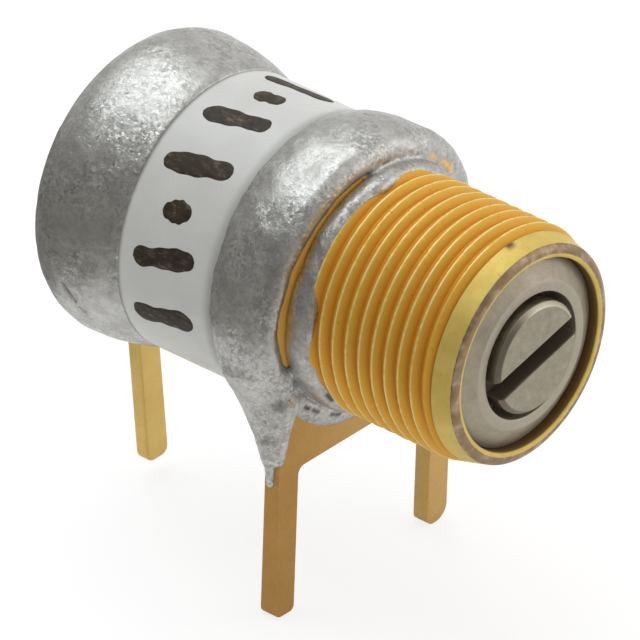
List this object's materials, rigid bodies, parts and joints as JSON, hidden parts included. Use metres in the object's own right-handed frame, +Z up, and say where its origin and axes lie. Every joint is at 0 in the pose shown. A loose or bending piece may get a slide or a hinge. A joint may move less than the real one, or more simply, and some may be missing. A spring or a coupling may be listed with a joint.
{
  "type": "piston trimmer capacitor",
  "caption": "Side-adjusted air piston trimmer capacitor for a circuit board: threaded gold-plated bushing, white ceramic tube, soldered terminals with legs, slotted captive adjusting screw.",
  "frame": {"origin": "on the board seat, which is the straight lower edge of the front terminal, midway between the two front legs and in the middle of the sheet", "axes": "+X out of the bushing's adjusting end along the centre line, +Z up from the board, +Y to the left as seen from behind"},
  "size_m": [0.0129, 0.0076, 0.0119],
  "materials": {
    "gold_plate": "satin",
    "gold_plate_sheet": "satin",
    "grey_plate": "satin",
    "screw_metal": "satin",
    "spring_metal": "satin",
    "inner_brass": "satin",
    "white_ceramic": "satin",
    "solder": "satin"
  },
  "bodies": {
    "housing": {"threaded_bushing": "gold_plate", "screw_retainer": "grey_plate", "spring_washer": "spring_metal", "ceramic_tube": "white_ceramic", "stator": "inner_brass", "front_terminal": "gold_plate_sheet", "rear_terminal": "gold_plate_sheet", "front_solder": "solder", "rear_solder": "solder"},
    "adjuster": {"adjusting_screw": "screw_metal", "stop_ring": "screw_metal"},
    "piston": {"rotor": "inner_brass"}
  },
  "joints": [
    {"name": "screw_turn", "type": "hinge", "parent": "housing", "child": "adjuster", "pos_m": [0.00548, 0, 0.00405], "axis": [1, 0, 0], "range_deg": [-1440, 1440]},
    {"name": "rotor_slide", "type": "slide", "parent": "housing", "child": "piston", "axis": [1, 0, 0], "range_m": [-0.00159, 0.00159]}
  ],
  "couplings": [
    {"joint": "screw_turn", "follows": "rotor_slide", "rad_per_m": -15827}
  ]
}
